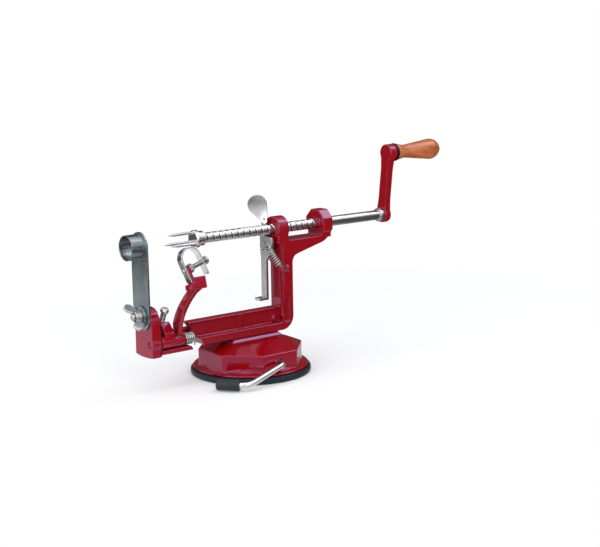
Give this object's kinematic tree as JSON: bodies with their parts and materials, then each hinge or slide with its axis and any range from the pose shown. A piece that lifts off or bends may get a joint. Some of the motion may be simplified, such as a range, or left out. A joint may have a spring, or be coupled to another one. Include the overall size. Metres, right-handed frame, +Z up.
{
  "type": "hand cranked apple peeler",
  "caption": "Hand cranked apple peeler, corer and slicer: red cast frame on a suction base, chrome screw with fork, crank with wooden handle, sprung peeling arm.",
  "frame": {"origin": "centre of the rubber pad's flat underside, on the table", "axes": "+X along the screw towards the crank, +Z up, +Y away from the peeling arm"},
  "size_m": [0.3392, 0.1111, 0.1892],
  "materials": {
    "red_enamel": "glossy dark red enamel on a casting",
    "rubber": "satin blue black rubber",
    "grip_black": "satin black sleeve",
    "chrome": "bright plated rod",
    "steel": "plain grey steel",
    "dark_steel": "blackened steel",
    "zinc": "bluish zinc plate",
    "wood": "varnished orange brown turned wood"
  },
  "bodies": {
    "frame": {"frame_casting": "red_enamel", "base_cup": "red_enamel", "suction_pad": "rubber", "base_screws": "steel", "arm_pivot_pin": "red_enamel", "slicer_bolt": "steel", "lever_pivot": "steel", "lever_spring": "steel", "pull_stud": "steel"},
    "screw_slide": {"thrust_washer": "chrome"},
    "screw": {"drive_screw": "chrome", "prong_fork": "chrome", "crank_arm": "red_enamel", "crank_pin": "steel", "handle_pin": "steel", "handle_washer": "dark_steel"},
    "crank_handle": {"handle": "wood"},
    "arm": {"peeler_arm": "red_enamel", "arm_spring": "steel", "arm_stop_screw": "steel", "peeling_blade": "chrome", "blade_bolt": "steel", "blade_nut": "steel", "head_set_screw": "dark_steel"},
    "slicer": {"slicing_blade": "zinc", "slicer_washer": "zinc"},
    "wing": {"wing_nut": "steel"},
    "release": {"release_lever": "steel"},
    "suction": {"suction_lever": "chrome", "suction_cam": "steel", "shaft_clip": "steel", "lever_grip": "grip_black"}
  },
  "joints": [
    {"name": "screw_travel", "type": "slide", "parent": "frame", "child": "screw_slide", "axis": [1, 0, 0], "range_m": [-0.05694, 0.064]},
    {"name": "screw_turn", "type": "hinge", "parent": "screw_slide", "child": "screw", "pos_m": [0, 0, 0.122], "axis": [1, 0, 0], "range_deg": [-3200, 3600]},
    {"name": "handle_spin", "type": "hinge", "parent": "screw", "child": "crank_handle", "pos_m": [0.17, -0.00707, 0.17957], "axis": [1, 0, 0], "continuous": true},
    {"name": "arm_swing", "type": "hinge", "parent": "frame", "child": "arm", "pos_m": [-0.088, -0.009, 0.0415], "axis": [1, 0, 0], "range_deg": [-10, 25], "stiffness_Nm_per_rad": 0.3, "springref_deg": -34.38},
    {"name": "slicer_swing", "type": "hinge", "parent": "frame", "child": "slicer", "pos_m": [-0.109, 0, 0.0645], "axis": [1, 0, 0], "range_deg": [0, 80]},
    {"name": "wing_turn", "type": "hinge", "parent": "frame", "child": "wing", "pos_m": [-0.114, 0, 0.0645], "axis": [1, 0, 0], "continuous": true},
    {"name": "release_swing", "type": "hinge", "parent": "frame", "child": "release", "pos_m": [0.0225, 0.0075, 0.1075], "axis": [1, 0, 0], "range_deg": [-8, 0], "stiffness_Nm_per_rad": 0.1, "springref_deg": 28.65},
    {"name": "suction_turn", "type": "hinge", "parent": "frame", "child": "suction", "pos_m": [0, 0, 0.0155], "axis": [0, 1, 0], "range_deg": [0, 120]}
  ],
  "couplings": [
    {"joint": "screw_travel", "follows": "screw_turn", "m_per_rad": 0.0010106}
  ]
}
